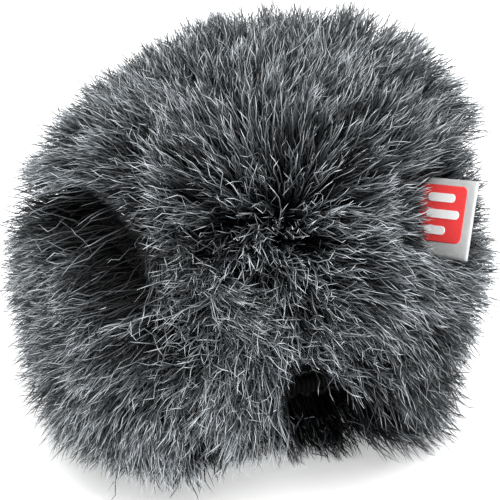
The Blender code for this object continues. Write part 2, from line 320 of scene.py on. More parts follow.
# Places that the hairs on the front point away from: centre, strength and reach
MOUND_TOP = np.array([-0.0095, -0.0360, 0.0185])
FLOWS = (
    (np.array([0.0012, -0.0474, 0.0316]), 1.25, 0.0120),
    (MOUND_TOP + 0.0040 * VIEW_UP, 1.25, 0.0100),
)

# Where the label is sewn in: the directions along its seam, out from it and round behind it
HINGE = np.array([0.0283, -0.01953, 0.04867])
LABEL_ALONG = unit(np.array([0.16054, 0.65113, 0.74179]))
LABEL_OUT = unit(np.array([0.71351, -0.59585, 0.36860]))
LABEL_BACK = np.cross(LABEL_ALONG, LABEL_OUT)
LABEL_SKEW, LABEL_SLANT, LABEL_TRIM = 0.25, 0.26, 0.0004
# The label in the view: its ends, and across, up and slope of its top and bottom edges
VIEW_LEFT_END, VIEW_RIGHT_END = 0.0320, 0.0478
VIEW_TOP_EDGE, VIEW_FOOT_EDGE = (0.0370, 0.0160, -0.19), (0.0364, -0.0006, -0.24)


def wave_noise(points, scale, count, seed):
    """Smooth vector noise: a sum of sine waves in fixed random directions."""
    source = np.random.default_rng(seed)
    waves = unit(source.normal(size=(count, 3))) * (math.tau / scale)
    waves *= source.uniform(0.6, 1.5, (count, 1))
    phase = source.uniform(0, math.tau, (count, 3))
    gain = source.normal(size=(count, 3)) / math.sqrt(count)
    out = np.zeros_like(points)
    for w, p, g in zip(waves, phase, gain):
        out += np.sin((points @ w)[:, None] + p) * g
    return out


def seen(points):
    """Where points lie across, up and towards the viewer in the view, in metres at VIEW_TARGET."""
    q = points - (VIEW_TARGET + VIEW_OUT * VIEW_DISTANCE)
    far = -(q @ VIEW_OUT)
    over, up = (q @ VIEW_RIGHT) * VIEW_DISTANCE / far, (q @ VIEW_UP) * VIEW_DISTANCE / far
    return over, up, VIEW_DISTANCE - far


def away(d, pole):
    return unit(d - pole * (d @ pole)[:, None])


def arc(d, pole):
    return np.arccos(np.clip(d @ pole, -1, 1))


def label_place(points):
    """Along the label's seam, out from it, and round it, where positive is behind the label."""
    q = points - HINGE
    return q @ LABEL_ALONG, q @ LABEL_OUT, q @ LABEL_BACK


def label_faces():
    """The direction out along the label, turned to the view, and the one that its back faces."""
    turned = LABEL_OUT * math.cos(LABEL_TURN) + LABEL_BACK * math.sin(LABEL_TURN)
    return turned, np.cross(LABEL_ALONG, turned)


def tangle_share(d):
    return np.exp(-((arc(d, TANGLE) / 0.30) ** 2))


def fabric_face(d):
    """The radius of the fur fabric's outer face, where the hairs are rooted."""
    return cloth_radius(d) + CLOTH_THICK


def comb(d, roots, normals):
    """How each hair leans from the normal, and how tangled, parted and lit the pile is there."""
    theta, phi = angles(d)
    turn = arc(d, WHORL)
    lean = away(d, WHORL) * (0.80 * ease(0, 0.34, turn) * (1 - ease(1.0, 2.4, turn)))[:, None]
    rim = 1 - ease(0.75, 1.15, theta)
    under = ease(0.25, 0.85, -np.sin(phi)) * rim
    lean *= (1 - 0.8 * rim)[:, None]
    lean += FORWARD * (0.45 * (rim - under) + 1.6 * under)[:, None]
    facing = ease(-0.3, 0.2, normals @ VIEW_OUT)
    for centre, most, reach in FLOWS:
        q = roots - centre
        q -= VIEW_OUT * (q @ VIEW_OUT)[:, None]
        r = np.linalg.norm(q, axis=1)
        lean += q * (facing * most * np.exp(-((r / reach) ** 2)) / np.maximum(r, 0.0015))[:, None]

    # The ridge: hairs on its crest hang down over the cleft, and those below it are pushed to the left.
    over, up, _ = seen(roots)
    over, up = over - RIDGE_START[0], up - RIDGE_START[1]
    along = over * RIDGE_COURSE[0] + up * RIDGE_COURSE[1]
    off = up * RIDGE_COURSE[0] - over * RIDGE_COURSE[1]
    within = ease(-0.005, 0.002, along) * (1 - ease(0.034, 0.040, along)) * facing
    crest = within * np.exp(-(((off - 0.0025) / 0.0040) ** 2))
    below = within * np.exp(-(((off + 0.0055) / 0.0045) ** 2))
    below = below * (1 - 0.6 * ease(0.018, 0.034, along))
    hang, push = VIEW_RIGHT * 0.55 - VIEW_UP * 0.80, VIEW_RIGHT * 1.0 + VIEW_UP * 0.45
    lean = lean * (1 - crest)[:, None] + hang * (1.25 * crest)[:, None]
    lean = lean * (1 - below)[:, None] - push * (0.9 * below)[:, None]

    # The parting over the upper left seam
    seam = ((phi - SEAMS[1] + math.pi) % math.tau - math.pi) * np.sin(theta) * SEAM_RADIUS
    parted = np.exp(-((seam / 0.0050) ** 2)) * (1 - ease(1.75, 2.1, theta)) * ease(0.85, 1.05, theta)
    across = unit(-SIDE * np.sin(phi)[:, None] + UP * np.cos(phi)[:, None])
    lean += across * (1.2 * parted * np.tanh(seam / 0.0012))[:, None]

    tangled = tangle_share(d)
    lean += wave_noise(roots, 0.020, 14, 3) * (0.22 + 0.3 * tangled)[:, None]
    lean += wave_noise(roots, 0.0075, 18, 4) * (0.22 + 0.4 * tangled)[:, None]
    lean -= normals * (lean * normals).sum(1, keepdims=True)
    # The last value is painted light on the ridge's crest and painted shade on the hairs below it, which
    # hair_tones adds to the tone
    return lean, tangled, parted, 1.2 * crest - 0.45 * below


def grow(roots, normals, lean, length, sink, curl, steps=STEPS):
    """Points of each hair. It starts near the normal, bends over, sags, and splays on the floor."""
    points = [roots]
    for k in range(steps):
        t = (k + 0.5) / steps
        heading = normals + lean * (0.55 + 0.75 * t) + curl * (t * t)
        heading[:, 2] -= sink * t
        heading = unit(heading) * (length / steps)[:, None]
        floor = 0.0003 + 0.0012 * (1 - t)
        new = points[-1] + heading
        low = new[:, 2] < floor
        if low.any():
            flat = new[low] - points[-1][low]
            drop = floor - points[-1][low][:, 2]
            side = unit(np.c_[flat[:, :2] + 1e-7, np.zeros(len(flat))])
            run = np.sqrt(np.maximum((length[low] / steps) ** 2 - drop**2, 1e-12))
            new[low] = points[-1][low] + side * run[:, None]
            new[low, 2] = floor
        points.append(new)
    return np.stack(points, 1)


def fit_length(roots, normals, lean, length, sink, curl, reach):
    """Scales hairs so that their tips end near the pile's surface, or splay where the floor presses."""
    first = length.copy()
    for _ in range(3):
        tips = grow(roots, normals, lean, length, sink, curl, 4)[:, -1]
        d = unit(tips - CENTRE)
        inner = fabric_face(d)
        depth = np.maximum(pile_radius(d) - inner, 1e-4)
        out = np.linalg.norm(tips - CENTRE, axis=1)
        scale = np.clip(reach / np.maximum((out - inner) / depth, 0.2), 0.75, 1.35)
        free = box_radius(d, 0.0, PILE_POWER)
        pressed = (tips[:, 2] < 0.004) | (pile_radius(d) * 1.02 < free)
        splayed = np.clip(0.95 * reach * free / out, 0.8, 1.06)
        length = np.where(pressed, length * splayed, length * scale)
    return np.clip(length, 0.45 * first, 1.55 * first)


def sample_roots(count, seed):
    """Directions spread evenly over the bag outside the hem, fewer where it lies on the floor."""
    source = np.random.default_rng(seed)
    kept = []
    total = 0
    while total < count:
        d = unit(source.normal(size=(count * 2, 3)))
        theta, phi = angles(d)
        r = cloth_radius(d)
        weight = (r / WIDEST_CLOTH) ** 2
        at_z = CENTRE[2] + d[:, 2] * r
        weight *= 0.45 + 0.55 * ease(0.004, 0.012, at_z)
        weight *= theta > hem_angle(phi) + HAIR_GAP
        d = d[source.uniform(size=len(d)) < weight]
        kept.append(d)
        total += len(d)
    return np.concatenate(kept)[:count]


def shape_hairs(d, roots, normals, seed, spread, reach):
    """The lean, sink, curl and length that hairs grow with, and how lit the pile is there."""
    source = np.random.default_rng(seed)
    lean, tangled, parted, lit = comb(d, roots, normals)
    lean += (spread + 0.35 * tangled)[:, None] * source.normal(size=lean.shape)
    lean -= normals * (lean * normals).sum(1, keepdims=True)
    sink = 0.14 + 0.12 * source.uniform(size=len(d))
    curl = (0.25 + 0.45 * tangled)[:, None] * source.normal(size=lean.shape)
    length = np.full(len(d), HAIR_LENGTH)
    for centre, gain, start in REACHES:
        reach = reach * (1 + gain * ease(start, 0.99, d @ centre))
    length = fit_length(roots, normals, lean, length, sink, curl, reach)
    length *= 1 - 0.25 * parted
    return lean, sink, curl, length, lit


def grow_clumps(count, source):
    """The roots and the points of the tufts that hairs gather into."""
    d = sample_roots(count, 6)
    roots, normals = surface_frame(d, fabric_face)
    reach = 1.05 + 0.13 * source.normal(size=count)
    lean, sink, curl, length, _ = shape_hairs(d, roots, normals, 8, 0.15, reach)
    paths = grow(roots, normals, lean, length, sink, curl)
    return roots, paths + waves_along(paths, CLUMP_CRIMP, source)


def nearest(points, others):
    """For each point, which of the others is nearest."""
    tree = kdtree.KDTree(len(others))
    for i, p in enumerate(others):
        tree.insert(Vector(p), i)
    tree.balance()
    return np.array([tree.find(Vector(p))[1] for p in points])


def hair_tones(roots, tips, lit, stray, guard, owner, clumps, source):
    """Each hair's tone, which varies by place, by tuft and by hair, with painted light and painted shade
    added on the ridge, on the mound and in patches of the view.
    """
    # Painted light: the hairs' tips round the mound's top are made lighter
    mound_light = 0.32 * np.exp(-((np.linalg.norm(tips - MOUND_TOP, axis=1) / 0.0115) ** 2))
    mottle = wave_noise(roots, 0.030, 10, 21)[:, 0] * 0.06
    tone_and_painted_light = mound_light + 0.18 * lit + mottle + (source.normal(size=clumps) * 0.13)[owner]
    over, up, _ = seen(tips)
    # Painted shade and painted light in patches of the view
    for x, y, size, gain in PAINTED_SHADE_AND_LIGHT:
        tone_and_painted_light += gain * np.exp(-((over - x) ** 2 + (up - y) ** 2) / size**2)
    own = 0.54 + 0.27 * source.normal(size=len(roots))
    return own + tone_and_painted_light + 0.18 * stray - 0.17 * (~guard)


def strands(count):
    """Each hair's root direction, points, tone, share left uncut, and whether it is a guard hair."""
    source = np.random.default_rng(7)
    clumps = count // CLUMP_HAIRS
    clump_roots, clump_paths = grow_clumps(clumps, source)
    d = sample_roots(count, 5)
    roots, normals = surface_frame(d, fabric_face)
    owner = nearest(roots, clump_roots)

    guard = source.uniform(size=count) < GUARD_SHARE
    reach = 1.03 + 0.13 * source.normal(size=count)
    reach = np.where(guard, reach, reach * source.uniform(0.45, 0.95, count))
    reach = np.maximum(reach, 0.3)
    lean, sink, curl, length, lit = shape_hairs(d, roots, normals, 9, 0.14, reach)
    stray = source.uniform(size=count) < 0.025 + 0.32 * tangle_share(d)
    lean = lean + np.where(stray[:, None], 0.75 * source.normal(size=lean.shape), 0)
    paths = grow(roots, normals, lean, length, sink, curl)

    # Each hair but the strays is drawn towards its tuft, most of all past its middle.
    own = clump_paths[owner]
    t = np.linspace(0, 1, STEPS + 1)[None, :, None]
    pull = source.uniform(0.35, 1.0, clumps)[owner] * source.uniform(0.7, 1.0, count)
    pull = np.where(stray, 0.0, pull)[:, None, None] * np.sin(0.72 * math.pi * t) ** 0.9
    run = np.linalg.norm(np.diff(own, axis=1), axis=2).sum(1)
    share = np.clip(length / np.maximum(run, 1e-6), 0.3, 1.1)[:, None, None]
    target = own[:, :1] + (own - own[:, :1]) * share + (roots - own[:, 0])[:, None] * 0.32
    paths = paths * (1 - pull) + target * pull
    paths += waves_along(paths, HAIR_CRIMP, source) * np.where(stray, 1.6, 1.0)[:, None, None]
    paths[:, :, 2] = np.maximum(paths[:, :, 2], FLOOR_GAP)

    tone = hair_tones(roots, paths[:, -1], lit, stray, guard, owner, clumps, source)
    paths = clear_label(paths, source)
    whole = np.linalg.norm(paths[:, -1] - paths[:, 0], axis=1)
    paths, shaded = clear_cleft(clear_pit(paths, source), source)
    # Painted shade: the hairs at the bottom of the cleft get a dark tone
    tone = np.where(shaded, 0.06, tone)
    kept = np.linalg.norm(paths[:, -1] - paths[:, 0], axis=1) / whole
    return d, paths, np.clip(tone, 0, 0.999), kept, guard


def waves_along(paths, height, source):
    """A crimp for each hair, which grows from its root to its tip."""
    count = len(paths)
    t = np.linspace(0, 1, STEPS + 1)[None, :]
    tangent = unit(paths[:, -1] - paths[:, 0])
    one = unit(np.cross(tangent, unit(source.normal(size=(count, 3)))))
    two = np.cross(tangent, one)
    total = 0
    for across, least, most in ((one, 1.3, 3.2), (two, 0.8, 2.4)):
        turns = source.uniform(least, most, (count, 1))
        phase = source.uniform(0, math.tau, (count, 1))
        size = source.gamma(2.0, height, (count, 1))
        swing = (np.sin(math.tau * turns * t + phase) - np.sin(phase)) * size * t**0.6
        total = total + across[:, None] * swing[:, :, None]
    return total


def within_line(over, up, line, scale):
    """Whether places in the view lie within a hollow, its half width being multiplied by scale."""
    found = np.zeros(over.shape, bool)
    for (x0, y0, w0), (x1, y1, w1) in zip(line[:-1], line[1:]):
        dx, dy = x1 - x0, y1 - y0
        t = np.clip(((over - x0) * dx + (up - y0) * dy) / (dx * dx + dy * dy), 0, 1)
        width = (w0 + (w1 - w0) * t) * scale
        found |= np.hypot(over - x0 - dx * t, up - y0 - dy * t) < width
    return found


def shorten(paths, bad, share):
    """Draws the picked hairs in towards their roots, to a share of their length."""
    some = paths[bad]
    paths[bad] = some[:, :1] + (some - some[:, :1]) * share


def clear_pit(paths, source):
    """Shortens most hairs that cross the way into the mouth, which leaves a ragged dark hole."""
    limit = source.uniform(0.72, 1.12, len(paths))
    limit = np.where(source.uniform(size=len(paths)) < PIT_SPARED, 0, limit)[:, None]
    lying = source.uniform(0.0020, 0.0060, len(paths))[:, None]
    for _ in range(9):
        over, up, near = seen(paths)
        ragged = limit * (1 + 0.18 * np.sin(900 * over + 1.0) * np.sin(700 * up))
        inside = within_line(over, up, PIT_LINE, ragged)
        inside &= (near > PIT_BACK) & (paths[..., 2] > lying)
        shorten(paths, inside[:, 1:].any(1), 0.80)
    return paths


def clear_label(paths, source):
    """Shortens the hairs that hide the label or stand through it, but not all at its sewn edge."""
    count = len(paths)
    close = source.uniform(size=count) < 0.70
    start = np.where(close, VIEW_LEFT_END, source.uniform(0.0325, 0.0395, count))[:, None]
    edge = source.uniform(-0.0006, 0.0003, count)[:, None]
    face = label_faces()[1]
    (top_at, top, top_slope), (foot_at, foot, foot_slope) = VIEW_TOP_EDGE, VIEW_FOOT_EDGE
    for _ in range(9):
        over, up, _ = seen(paths)
        hides = ((paths - HINGE) @ -face > -0.0006) & (over > start)
        hides &= over < VIEW_RIGHT_END
        hides &= up < top + top_slope * (over - top_at) + edge
        hides &= up > foot + foot_slope * (over - foot_at) - edge
        height, out, back = label_place(paths)
        height = height - LABEL_SLANT * (LABEL_REACH - out)
        turn = np.degrees(np.arctan2(back, out))
        pierces = (np.abs(height) < 0.0086) & (out > 0.0010) & (np.hypot(out, back) < 0.0172)
        pierces &= (turn > -24) & (turn < -3)
        shorten(paths, (hides | pierces)[:, 1:].any(1), 0.82)
    return paths


def clear_cleft(paths, source):
    """Leaves a cleft under the ridge, where the fabric folds in, and finds the hairs at its bottom, which
    strands() paints dark as shade.
    """
    limit = source.uniform(0.70, 1.15, len(paths))
    limit = np.where(source.uniform(size=len(paths)) < CLEFT_SPARED, 0, limit)[:, None]
    for _ in range(10):
        over, up, near = seen(paths)
        inside = within_line(over, up, CLEFT_LINE, limit)
        shorten(paths, (inside & (near > CLEFT_BACK))[:, 1:].any(1), 0.80)
    return paths, inside[:, 5:].any(1)


def hair_mesh(name, paths, tone, kept, material):
    """One mesh of three-sided tapered hairs, with its tone and its length in the UV map."""
    count, points, _ = paths.shape
    source = np.random.default_rng(count)
    tangent = unit(np.gradient(paths, axis=1))
    helper = unit(source.normal(size=(count, 1, 3)))
    side = unit(np.cross(tangent, np.broadcast_to(helper, tangent.shape)))
    other = np.cross(tangent, side)
    t = np.linspace(0, 1, points)[None, :-1]
    radius = HAIR_RADIUS + 0.000050 * np.sin(math.pi * np.minimum(t * 1.1, 1)) - 0.000035 * t**3
    radius = radius * source.uniform(0.75, 1.3, (count, 1))
    rings = []
    for k in range(3):
        a = math.tau * k / 3
        offset = side[:, :-1] * math.cos(a) + other[:, :-1] * math.sin(a)
        rings.append(paths[:, :-1] + offset * radius[:, :, None])
    rings = np.stack(rings, 2)
    per = (points - 1) * 3 + 1
    vertices = np.concatenate([rings.reshape(count, -1, 3), paths[:, -1:]], 1).reshape(-1, 3)
    faces = []
    for s in range(points - 2):
        for k in range(3):
            a, b = s * 3 + k, s * 3 + (k + 1) % 3
            faces += [(a, b, b + 3), (a, b + 3, a + 3)]
    last = (points - 2) * 3
    faces += [(last + k, last + (k + 1) % 3, per - 1) for k in range(3)]
    faces = np.array(faces)
    all_faces = (faces[None] + (np.arange(count) * per)[:, None, None]).reshape(-1)
    column = np.floor(tone * COLUMNS)[:, None]
    across = np.append(np.tile([0.2, 0.5, 0.8], points - 1), 0.5)[None]
    along = np.append(np.repeat(np.arange(points - 1), 3), points - 1)[None] / (points - 1)
    uv = np.stack([(column + across) / COLUMNS, 0.01 + 0.98 * along * kept[:, None]], -1)
    uv = uv.reshape(-1, 2)[all_faces]
    mesh = bpy.data.meshes.new(name)
    mesh.vertices.add(len(vertices))
    mesh.vertices.foreach_set("co", vertices.astype(np.float32).ravel())
    mesh.loops.add(len(all_faces))
    mesh.loops.foreach_set("vertex_index", all_faces.astype(np.int32))
    mesh.polygons.add(len(all_faces) // 3)
    mesh.polygons.foreach_set("loop_start", np.arange(0, len(all_faces), 3, dtype=np.int32))
    mesh.update(calc_edges=True)
    layer = mesh.uv_layers.new(name="OFBake")
    layer.data.foreach_set("uv", uv.astype(np.float32).ravel())
    mesh.shade_smooth()
    mesh.materials.append(material)
    obj = bpy.data.objects.new(name, mesh)
    bpy.context.scene.collection.objects.link(obj)
    return obj


def panel_of(d):
    """The fur panel that each direction's root belongs to."""
    theta, phi = angles(d)
    names = np.full(len(d), "right_fur_gusset", dtype=object)
    names[(phi >= SEAMS[0]) & (phi < SEAMS[1])] = "upper_fur_panel"
    names[(phi >= SEAMS[1]) & (phi < SEAMS[2])] = "left_fur_gusset"
    names[(phi >= SEAMS[2]) & (phi < SEAMS[3])] = "lower_fur_panel"
    names[theta > END_SEAM] = "end_fur_panel"
    names[(theta < MOUTH_SEAM) & (phi < math.pi)] = "upper_mouth_fur"
    names[(theta < MOUTH_SEAM) & (phi >= math.pi)] = "lower_mouth_fur"
    return names


def lip_weight(d):
    """How far a point follows the mouth's upper lip: all the way at the middle of the upper hem."""
    theta, phi = angles(d)
    return ease(0.0, 1.0, np.clip(np.sin(phi), 0, 1)) * ease(0.0, 1.0, np.clip(rim_share(d), 0, 1))


def blend_with_lip(obj, weights):
    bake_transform(obj, "bag", "mouth_upper_lip", start=tuple(CENTRE), end=tuple(CENTRE + 0.01 * UP))
    attribute = obj.data.attributes["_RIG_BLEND"]
    attribute.data.foreach_set("value", np.ascontiguousarray(weights, np.float32))


def make_fur(count):
    """Meshes of guard hairs and of underfur, which has fewer points to a hair, for each panel."""
    material = fur_material()
    d, paths, tone, kept, guard = strands(count)
    owner = panel_of(d)
    for node in sorted(set(owner)):
        for kind, here, lines in (("guard_hair", guard, paths), ("underfur", ~guard, paths[:, ::2])):
            picked = np.flatnonzero((owner == node) & here)
            points = lines.shape[1]
            parts = max(1, math.ceil(len(picked) * (6 * points - 9) / MESH_FACES))
            for i in range(parts):
                some = picked[i::parts]
                name = f"{node}_{kind}_{i + 1}"
                hair = hair_mesh(name, lines[some], tone[some], kept[some], material)
                if node == "upper_mouth_fur":
                    blend_with_lip(hair, np.repeat(lip_weight(d[some]), 3 * points - 2))
                else:
                    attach(hair, "bag")
                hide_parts(node)


make_fur(HAIRS)


# The cloth under the pile, the lining and the hem


def shell(name, outer, inner, material, closed=False):
    """A closed sheet between two grids of points; closed joins its last row to its first."""
    rows, columns = outer.shape[:2]
    points = np.concatenate([outer.reshape(-1, 3), inner.reshape(-1, 3)])
    back = rows * columns
    faces = []
    for i in range(rows if closed else rows - 1):
        for j in range(columns - 1):
            a, b = i * columns + j, (i + 1) % rows * columns + j
            faces += [(a, a + 1, b + 1, b), (back + a, back + b, back + b + 1, back + a + 1)]
        for j in (0, columns - 1):
            a, b = i * columns + j, (i + 1) % rows * columns + j
            faces.append((a, b, back + b, back + a) if j == 0 else (b, a, back + a, back + b))
    if not closed:
        for j in range(columns - 1):
            a, b = j, (rows - 1) * columns + j
            faces.append((a + 1, a, back + a, back + a + 1))
            faces.append((b, b + 1, back + b + 1, back + b))
    return mesh_object(name, points, faces, material)


def grid(thetas, phis):
    theta, phi = np.meshgrid(thetas, phis, indexing="ij")
    return direction(theta, phi).reshape(-1, 3), theta.shape


def ripples(d, depth, size, seed):
    return wave_noise(CENTRE + d * 0.03, size, 12, seed)[:, 0] * depth


def cloth_shell(name, d, shape, near, far, material):
    outer = (CENTRE + d * far[:, None]).reshape(*shape, 3)
    inner = (CENTRE + d * near[:, None]).reshape(*shape, 3)
    return shell(name, outer, inner, material)


def ground_faces(d):
    """The inner and outer radius of the knitted ground, a little inside the CAD fabric."""
    near = cloth_radius(d) + GROUND_GAP
    return near, near + CLOTH_THICK * GROUND_SHARE + ripples(d, 0.00012, 0.006, 31)


def make_ground(material):
    """The fur's knitted ground, one shaped piece of cloth to a panel."""
    gap = math.radians(0.4)
    upper_right, upper_left, lower_left, lower_right = SEAMS
    walls = (
        ("right", "fur_gusset", lower_right - math.tau, upper_right),
        ("upper", "fur_panel", upper_right, upper_left),
        ("left", "fur_gusset", upper_left, lower_left),
        ("lower", "fur_panel", lower_left, lower_right),
    )
    for side, kind, first, last in walls:
        thetas = np.linspace(MOUTH_SEAM + gap, END_SEAM - gap, 34)
        d, shape = grid(thetas, np.linspace(first + gap, last - gap, 44))
        near, far = ground_faces(d)
        panel = cloth_shell(f"{side}_ground_cloth", d, shape, near, far, material)
        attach(panel, "bag")
        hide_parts(f"{side}_{kind}")
    thetas = np.linspace(math.pi - 0.02, END_SEAM + gap, 26)
    d, shape = grid(thetas, np.linspace(0, math.tau, 97))
    near, far = ground_faces(d)
    end = cloth_shell("end_ground_cloth", d, shape, near, far, material)
    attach(end, "bag")
    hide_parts("end_fur_panel")
    for side, start in (("upper", 0.0), ("lower", math.pi)):
        phis = np.linspace(start + gap / 2, start + math.pi - gap / 2, 121)
        rim = hem_angle(phis) + RIM_GAP
        share = np.linspace(0, 1, 22)[:, None]
        theta = (MOUTH_SEAM - gap) * (1 - share) + rim[None] * share
        phi = np.broadcast_to(phis, theta.shape)
        d = direction(theta, phi).reshape(-1, 3)
        pleats = np.sin(GATHERS * phi.ravel()) * 0.0005
        pleats *= ease(0.35, 1.0, rim_share(d))
        near = cloth_radius(d) + GROUND_GAP + pleats
        far = near + CLOTH_THICK * GROUND_SHARE
        panel = cloth_shell(f"{side}_mouth_ground_cloth", d, theta.shape, near, far, material)
        if side == "upper":
            blend_with_lip(panel, np.tile(lip_weight(d), 2))
        else:
            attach(panel, "bag")
        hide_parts(f"{side}_mouth_fur")


def make_lining(material):
    """The lining: one gathered bag of thin knit, folded from the mouth to the closed end."""
    thetas = np.linspace(math.radians(60), math.pi - 0.02, 60)
    phis = np.linspace(0, math.tau, 181)
    d, shape = grid(thetas, phis)
    theta, phi = angles(d)
    folds = np.sin(17 * phi + 2 * np.sin(3 * phi)) * (1 - ease(1.1, 1.9, theta)) * 0.00045
    base = box_radius(d, PILE_LENGTH, CLOTH_POWER) - LINING_DEPTH - 0.0006
    far = base + folds + ripples(d, 0.0003, 0.009, 41)
    lining = cloth_shell("bag_lining", d, shape, far - LINING_THICK * 0.7, far, material)
    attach(lining, "bag")
    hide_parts("upper_lining", "left_lining", "lower_lining", "right_lining", "end_lining")


def hem_points(phi, across, along):
    """Points at phi round the hem's oval, across it and along the bag's axis."""
    phi, across, along = (np.asarray(v)[..., None] for v in (phi, across, along))
    round_hem = SIDE * np.cos(phi) + UP * np.sin(phi)
    at = SIDE * HEM_WIDTH * np.cos(phi) + UP * HEM_HEIGHT * np.sin(phi)
    return CENTRE + AXIS * (HEM_DEPTH + along) + at + round_hem * across


def hem_weight(phi):
    return ease(0.0, 1.0, np.clip(np.sin(phi), 0, 1))


def make_hem(cloth, rubber, thread):
    """The hem's sleeve, gathered on its elastic, and its line of stitches."""
    phis = np.linspace(0, math.tau, 361)[:-1]
    turns = np.linspace(0, math.tau, 25)
    phi, turn = np.meshgrid(phis, turns, indexing="ij")
    gather = 0.00022 * np.sin(GATHERS * phi + 0.6 * np.sin(5 * phi)) * (1 + 0.5 * np.cos(turn))
    gather += 0.00008 * np.sin(2.3 * GATHERS * phi + 3 * np.cos(turn))
    radius = CASING_RADIUS - 0.0003 + gather
    outer = hem_points(phi, radius * np.cos(turn), radius * np.sin(turn))
    inner = hem_points(phi, (radius - 0.0003) * np.cos(turn), (radius - 0.0003) * np.sin(turn))
    sleeve = shell("gathered_hem", outer, inner, cloth, closed=True)
    blend_with_lip(sleeve, np.tile(hem_weight(phi).ravel(), 2))
    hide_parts("upper_hem_casing", "lower_hem_casing")
    turns = np.linspace(0, math.tau, 13)
    phi, turn = np.meshgrid(phis[::3], turns, indexing="ij")
    ring = hem_points(phi, ELASTIC_RADIUS * np.cos(turn), ELASTIC_RADIUS * np.sin(turn))
    core = hem_points(phi, 0.0002 * np.cos(turn), 0.0002 * np.sin(turn))
    elastic = shell("elastic_cord", ring, core, rubber, closed=True)
    blend_with_lip(elastic, np.tile(hem_weight(phi).ravel(), 2))
    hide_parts("elastic_loop")
    points, faces, weights = [], [], []
    last, sides = 8, 6
    spread = np.linspace(-0.36, 0.36, last + 1) * math.tau / STITCHES
    for i in range(STITCHES):
        middle = math.tau * (i + 0.5) / STITCHES
        start = len(points)
        for k, step in enumerate(spread):
            lift = 0.00022 * math.cos(math.pi * k / last - math.pi / 2)
            size = THREAD_RADIUS * (0.55 if k in (0, last) else 1)
            for side in range(sides):
                a = math.tau * side / sides
                across = size * math.cos(a) + 0.0004 * (k / last - 0.5)
                depth = -(CASING_RADIUS + 0.0004 + lift) + size * math.sin(a)
                points.append(hem_points(middle + step, across, depth))
                weights.append(float(hem_weight(middle + step)))
        for k in range(last):
            for side in range(sides):
                a, b = start + k * sides + side, start + k * sides + (side + 1) % sides
                faces.append((a, b, b + sides, a + sides))
        faces.append(tuple(start + side for side in reversed(range(sides))))
        faces.append(tuple(start + last * sides + side for side in range(sides)))
    stitching = mesh_object("hem_stitching", points, faces, thread)
    blend_with_lip(stitching, np.array(weights))
    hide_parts("upper_hem_thread", "lower_hem_thread")


# The label


def ribbon_point(along, out, lift):
    """Where a place on the ribbon lies: along the seam, out from it, and lift off its middle plane."""
    turned, face = label_faces()
    out = out + LABEL_SKEW * along * ease(0, 0.006, out)
    along = along + LABEL_SLANT * (LABEL_REACH - out)
    bow = 0.0005 * np.sin(math.pi * np.clip(out / LABEL_REACH, 0, 1))
    bow = bow - 0.25 * out * along / LABEL_REACH * 0.06
    along, out, lift = (np.asarray(v)[..., None] for v in (along, out, lift + bow))
    return HINGE + LABEL_ALONG * along + turned * out + face * lift


def ribbon_material():
    """Pale satin with a fine weave, a little soiled."""
    m = Nodes("satin_ribbon", 0.6, Sheen_Weight=0.2, Sheen_Roughness=0.4, Specular_IOR_Level=0.3)
    uv = {"Vector": m.add("ShaderNodeUVMap", uv_map="cloth").outputs["UV"]}
    warp = m.add("ShaderNodeTexWave", uv, {"Scale": 34.0, "Distortion": 0.4})
    weft = m.add("ShaderNodeTexWave", uv, {"Scale": 30.0, "Distortion": 0.6}, bands_direction="Y")
    threads = {0: warp.outputs["Fac"], 1: weft.outputs["Fac"]}
    weave = m.add("ShaderNodeMath", threads, operation="MULTIPLY").outputs[0]
    soil = m.add("ShaderNodeTexNoise", uv, {"Scale": 6.0, "Detail": 5.0}).outputs["Fac"]
    base = m.ramp(weave, ((0.0, (0.36, 0.365, 0.37)), (0.8, (0.56, 0.565, 0.57))))
    stains = m.ramp(soil, ((0.3, (0.36, 0.36, 0.36)), (0.7, (0.6, 0.6, 0.6))))
    m.colour(m.mix(0.25, base, stains))
    m.bump(weave, 0.35, 0.00008)
    return m.material


def badge_material(name, dark, light):
    """Dense embroidery: fine ridges of thread."""
    m = Nodes(name, 0.75, Sheen_Weight=0.1, Sheen_Roughness=0.5, Specular_IOR_Level=0.2)
    uv = {"Vector": m.add("ShaderNodeUVMap", uv_map="cloth").outputs["UV"]}
    threads = m.add("ShaderNodeTexWave", uv, {"Scale": 40.0, "Distortion": 1.2}).outputs["Fac"]
    m.colour(m.ramp(threads, ((0.0, dark), (0.7, light))))
    m.bump(threads, 0.4, 0.00008)
    return m.material


def cloth_uv(obj, places):
    """A UV map in centimetres of cloth, from a place (along, out) for each point."""
    layer = obj.data.uv_layers.new(name="cloth")
    index = np.empty(len(obj.data.loops), np.int32)
    obj.data.loops.foreach_get("vertex_index", index)
    layer.data.foreach_set("uv", (np.asarray(places)[index] * 100).astype(np.float32).ravel())


def evenly(outline, step):
    """The same closed border with a point at about every step."""
    ends = np.vstack([outline, outline[:1]])
    run = np.concatenate([[0], np.cumsum(np.linalg.norm(np.diff(ends, axis=0), axis=1))])
    at = np.linspace(0, run[-1], int(run[-1] / step) + 1)[:-1]
    return np.stack([np.interp(at, run, ends[:, k]) for k in (0, 1)], -1)


